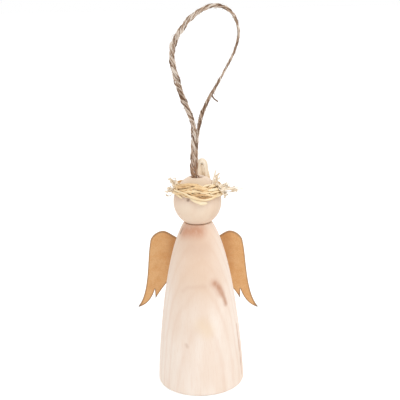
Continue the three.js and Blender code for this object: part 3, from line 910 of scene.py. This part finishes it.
def makeHalo():
    rng = np.random.default_rng(halo["seed"])
    bundle = Bundle()
    stops, taper = halo["strandPoints"], halo["endTaper"]
    for number in range(halo["strands"]):
        turns = rng.uniform(*halo["turns"])
        start = rng.uniform(-math.pi, math.pi)
        way = 1 if number % 2 else -1
        bearing = start + way * np.linspace(0, 2 * math.pi * turns, stops)
        degrees = (np.degrees(bearing) + 180) % 360 - 180
        middle, half = atShares(halo["band"], degrees, 1), atShares(halo["band"], degrees, 2)
        height = rng.uniform(-0.7, 0.7) + way * rng.uniform(0.2, 0.8) * np.linspace(-1, 1, stops)
        height = np.clip(height + 0.5 * np.sin(3 * bearing + rng.uniform(0, 6)), -1.05, 1.05)
        shell = halo["inner"] + (halo["outer"] - halo["inner"]) * number / (halo["strands"] - 1)
        shell = shell + drift(rng, stops, 7, 0.12)
        path = smoothRun(roundHead(shell, bearing, np.radians(middle + half * height)), halo["step"])
        count = len(path)
        width = rng.uniform(*halo["width"]) * (1 + drift(rng, count, 14, 0.4))
        width[:taper] *= np.linspace(0.35, 1, taper)
        width[-taper:] *= np.linspace(1, 0.35, taper)
        tilt = rng.uniform(-0.5, 0.5) + drift(rng, count, 10, 0.8)
        tone = rng.uniform(0, 1.1) + drift(rng, count, 10, 0.35)
        lies = np.degrees(np.arctan2(path[:, 1], path[:, 0]))
        onRight = np.exp(-((lies - halo["paleBearing"]) / halo["paleSpread"]) ** 2)
        tone = np.clip(tone + halo["paleness"] * onRight, 0, 1)
        layRibbon(bundle, path + haloLift, path, width, tilt, tone, rng)
    stops = halo["splitPoints"]
    for _ in range(halo["splits"]):  # split pieces that lie across the front
        start, reach = rng.uniform(*halo["splitBearing"]), rng.uniform(*halo["splitReach"])
        bearing = start + np.linspace(0, reach, stops)
        level = rng.uniform(*halo["splitLevel"]) + rng.uniform(-13, 13) * np.linspace(-0.5, 0.5, stops)
        shell = halo["outer"] + rng.uniform(-0.1, 0.35) - 0.5 * np.linspace(-1, 1, stops) ** 2
        path = smoothRun(roundHead(shell, bearing, np.radians(level)), halo["step"])
        swell = np.sin(np.linspace(0.3, math.pi - 0.3, len(path))) ** 0.5
        width = rng.uniform(*halo["splitWidth"]) * swell
        tilt = rng.uniform(-0.4, 0.4) + drift(rng, len(path), 3, 0.4)
        layRibbon(bundle, path + haloLift, path, width, tilt, rng.uniform(0.3, 1), rng)
    for wide, tone, points in halo["slipped"]:
        path = smoothRun(points, halo["step"])
        swell = np.sin(np.linspace(0.15, math.pi - 0.15, len(path))) ** 0.4
        width = wide * (1 + drift(rng, len(path), 5, 0.2)) * swell
        layRibbon(bundle, path + haloLift, path, width, drift(rng, len(path), 4, 0.3), tone, rng)
    made = bundle.toObject("raffiaHalo")
    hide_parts("raffia_strand_1", "raffia_strand_2", "raffia_strand_3", "raffia_strand_4")
    return made


def makeFray():  # split ends that curl out of the band
    rng = np.random.default_rng(halo["seed"] + 1)
    bundle = Bundle()
    for root, tip, count, spread in halo["tufts"]:
        for _ in range(count):
            base = np.array(root) + rng.normal(0, 0.45, 3)
            end = np.array(tip) + rng.normal(0, spread, 3) * [1, 0.8, 1]
            bow = base * 0.45 + end * 0.55 + rng.normal(0, 0.6, 3)
            hook = end + unit(rng.normal(0, 1, 3)) * rng.uniform(0.3, 0.8)
            path = smoothRun([base, bow, end, hook], halo["fineStep"])
            width = rng.uniform(0.8, 1.5) * np.linspace(1, 0.5, len(path))
            width = width * (1 + drift(rng, len(path), 4, 0.3))
            outward = facing(rng.normal(0, 1, 3), path)
            tilt = drift(rng, len(path), 3, 0.9)
            layRibbon(bundle, path + haloLift, outward, width, tilt, rng.uniform(0.35, 1), rng, 0.1, 0.08)
    return bundle.toObject("raffiaFray")


def makeTie():  # overhand knot of split raffia with its two ends
    rng = np.random.default_rng(halo["tieSeed"])
    bundle = Bundle()
    bearing, latitude = np.radians(halo["tieAt"])
    out = roundHead(1.0, bearing, latitude)
    side = unit(np.cross([0, 0, 1.0], out))
    up = np.cross(out, side)
    angle = np.linspace(0, 2 * math.pi, 40)
    swing = halo["tieSize"] * (1 + 0.42 * np.cos(3 * angle))
    away = halo["tieOut"] + 0.4 * np.sin(3 * angle)
    curl = np.cos(2 * angle)[:, None] * side + 0.8 * np.sin(2 * angle)[:, None] * up
    path = smoothRun(away[:, None] * out + swing[:, None] * curl, 0.25)
    width, tilt = np.full(len(path), halo["tieWidth"]), drift(rng, len(path), 6, 0.4)
    layRibbon(bundle, path + haloLift, facing(out, path), width, tilt, 0.6, rng)
    for points in halo["tieTails"]:
        for _ in range(halo["tieStrands"]):
            line = np.array(points) + np.linspace(0, 1, len(points))[:, None] * rng.normal(0, 0.55, 3)
            path = smoothRun(line, halo["fineStep"])
            width, tilt = np.linspace(0.9, 0.15, len(path)), drift(rng, len(path), 4, 0.6)
            outward = facing((0.2, -1, 0.5), path)
            layRibbon(bundle, path + haloLift, outward, width, tilt, rng.uniform(0.5, 1), rng, 0.06, 0.09)
    made = bundle.toObject("raffiaTie")
    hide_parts("raffia_tie")
    return made


def makeBow():  # a wide pale strand that stands up behind the bead
    rng = np.random.default_rng(halo["bowSeed"])
    bundle = Bundle()
    low, high = (np.array(corner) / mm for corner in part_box("raffia_bow"))
    foot = np.array([(low[0] + high[0]) / 2, (low[1] + high[1]) / 2, low[2]])
    size = np.array([1, 1, high[2] - low[2]])
    run = smoothRun(foot + np.array(halo["bow"]) * size, halo["fineStep"])
    for back, wide, tone in halo["bowRibbons"]:
        path = run + np.array([0, back, 0])
        width = wide * (1 + drift(rng, len(path), 6, 0.12))
        tilt = drift(rng, len(path), 6, 0.35)
        layRibbon(bundle, path, facing(halo["bowFacing"], path), width, tilt, tone, rng, 0.2, 0.1)
    inner = smoothRun(foot + np.array(halo["bowInner"]) * size, halo["fineStep"])
    width, tilt = np.full(len(inner), halo["bowInnerWidth"]), drift(rng, len(inner), 4, 0.3)
    layRibbon(bundle, inner, facing(halo["bowFacing"], inner), width, tilt, 0.5, rng, 0.15, 0.1)
    made = bundle.toObject("raffiaBow")
    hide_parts("raffia_bow")
    return made


def raffiaFinish(name, dark, middle, pale):
    raffia = Finish(name)
    tone, along, across = raffia.value("tone"), raffia.value("along"), raffia.value("across")
    lie = raffia.node("CombineXYZ", sockets={0: along * 0.12, 1: across * 3.0, 2: tone * 60})
    fibre = raffia.noise(lie, 1.4, 3.0, 0.6)
    spot = raffia.node("CombineXYZ", sockets={0: along * 0.25, 1: across * 0.4, 2: tone * 31})
    patch = raffia.noise(spot, 1.0, 2.0)
    shade = tone * 0.55 + raffia.smooth(fibre, 0.25, 0.8) * 0.4 + (patch - 0.5) * 0.5
    colour = raffia.blend(raffia.smooth(shade, 0.0, 0.5), tint(*dark), tint(*middle))
    colour = raffia.blend(raffia.smooth(shade, 0.45, 1.0), colour, tint(*pale))
    raffia.put("Base Color", colour)
    raffia.put("Roughness", 0.42 + fibre * 0.2)
    raffia.bump(fibre, 0.5, 0.0001)
    return raffia


raffia = raffiaFinish("raffia", (196, 148, 96), (244, 212, 162), (255, 244, 216))
# paler raffia for the split ends, the tie and the bow; on the bow the paler tone is partly painted light
# shining through the thin strand
paleRaffia = raffiaFinish("paleRaffia", (228, 204, 170), (242, 224, 198), (250, 240, 222))
raffiaHalo, raffiaFray, raffiaTie, raffiaBow = makeHalo(), makeFray(), makeTie(), makeBow()
for piece in (raffiaHalo, raffiaFray, raffiaTie, raffiaBow):
    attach(piece, "figure")
    dress(piece, raffia if piece == raffiaHalo else paleRaffia)
print("raffia wound:", len(raffiaHalo.data.polygons), "faces")


# studio

studio = {
    "fill": 0.86,  # even light from all round
    "key": (0.2, -0.3, 0.62),
    "keyPower": 1.5,
    "keySize": 0.5,
    "aim": (0, 0, 0.06),
    "floor": (0.9, 0.9, 0.9, 1),
    "floorRough": 0.9,
    "floorSize": 60,  # m
    "floorWhite": 0.35,  # lifts the floor to white where the camera sees it
}
seenBy = ("Is Camera Ray", "Is Glossy Ray", "Is Transmission Ray")  # rays that find a white background


def setStudio():
    clearSelection()
    bpy.ops.mesh.primitive_plane_add(size=studio["floorSize"])
    floor = bpy.context.active_object
    floor.name = "floor"
    paint = Finish("floorPaint")
    paint.put("Base Color", studio["floor"])
    paint.put("Roughness", studio["floorRough"])
    paint.put("Emission Strength", studio["floorWhite"])
    rays = [paint.node("LightPath", output=kind) for kind in seenBy]
    seen = paint.sum("MAXIMUM", paint.sum("MAXIMUM", rays[0], rays[1]), rays[2])
    paint.put("Emission Color", paint.blend(seen, (0, 0, 0, 1), (1, 1, 1, 1)))
    floor.data.materials.append(paint.material)
    world = bpy.data.worlds.new("studio")
    scene.world = world
    world.use_nodes = True
    tree = world.node_tree
    sky = tree.nodes["Background"]
    path = tree.nodes.new("ShaderNodeLightPath")
    seen = path.outputs[seenBy[0]]
    for kind in seenBy[1:]:
        either = tree.nodes.new("ShaderNodeMath")
        either.operation = "MAXIMUM"
        tree.links.new(seen, either.inputs[0])
        tree.links.new(path.outputs[kind], either.inputs[1])
        seen = either.outputs[0]
    level = tree.nodes.new("ShaderNodeMapRange")
    level.inputs["To Min"].default_value = studio["fill"]
    level.inputs["To Max"].default_value = 1
    tree.links.new(seen, level.inputs["Value"])
    tree.links.new(level.outputs[0], sky.inputs["Strength"])
    sky.inputs["Color"].default_value = (1, 1, 1, 1)
    lamp = bpy.data.lights.new("softbox", "AREA")
    lamp.energy = studio["keyPower"]
    lamp.size = studio["keySize"]
    key = bpy.data.objects.new("softbox", lamp)
    scene.collection.objects.link(key)
    key.location = studio["key"]
    aim = Vector(studio["aim"]) - key.location
    key.rotation_euler = aim.to_track_quat("-Z", "Y").to_euler()


setStudio()
scene.view_settings.view_transform = "Standard"
print("studio set")
